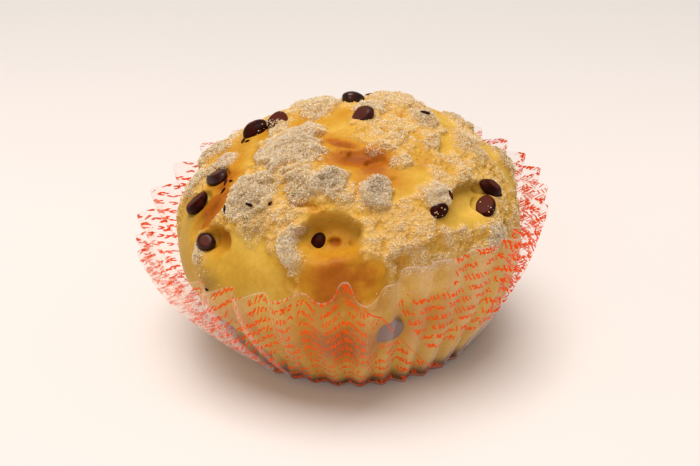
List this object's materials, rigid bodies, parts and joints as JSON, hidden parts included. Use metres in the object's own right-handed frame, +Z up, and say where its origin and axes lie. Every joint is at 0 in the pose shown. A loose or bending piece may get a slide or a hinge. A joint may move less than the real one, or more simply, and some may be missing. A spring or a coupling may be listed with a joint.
{
  "type": "melon bun",
  "caption": "Domed sweet bun with a cracked, sugared cookie crust and chocolate chips, sitting in a clear fluted film baking case.",
  "frame": {"origin": "centre of the film case's outline on the surface it stands on", "axes": "+Z up; the bun's front, as pictured, faces -Y; +X is to the right seen from the front"},
  "size_m": [0.1023, 0.1023, 0.0611],
  "materials": {
    "crust": "baked golden cookie crust, matt, with sugar grains",
    "film": "thin frosted clear film, printed with fine orange strokes",
    "chocolate": "dark chocolate, satin to glossy"
  },
  "bodies": {
    "root": {"bun": "crust", "film_case": "film", "chip_1": "chocolate", "chip_2": "chocolate", "chip_3": "chocolate", "chip_4": "chocolate", "chip_5": "chocolate", "chip_6": "chocolate", "chip_7": "chocolate", "chip_8": "chocolate", "chip_9": "chocolate", "chip_10": "chocolate", "chip_11": "chocolate", "chip_12": "chocolate", "chip_13": "chocolate"}
  },
  "joints": []
}
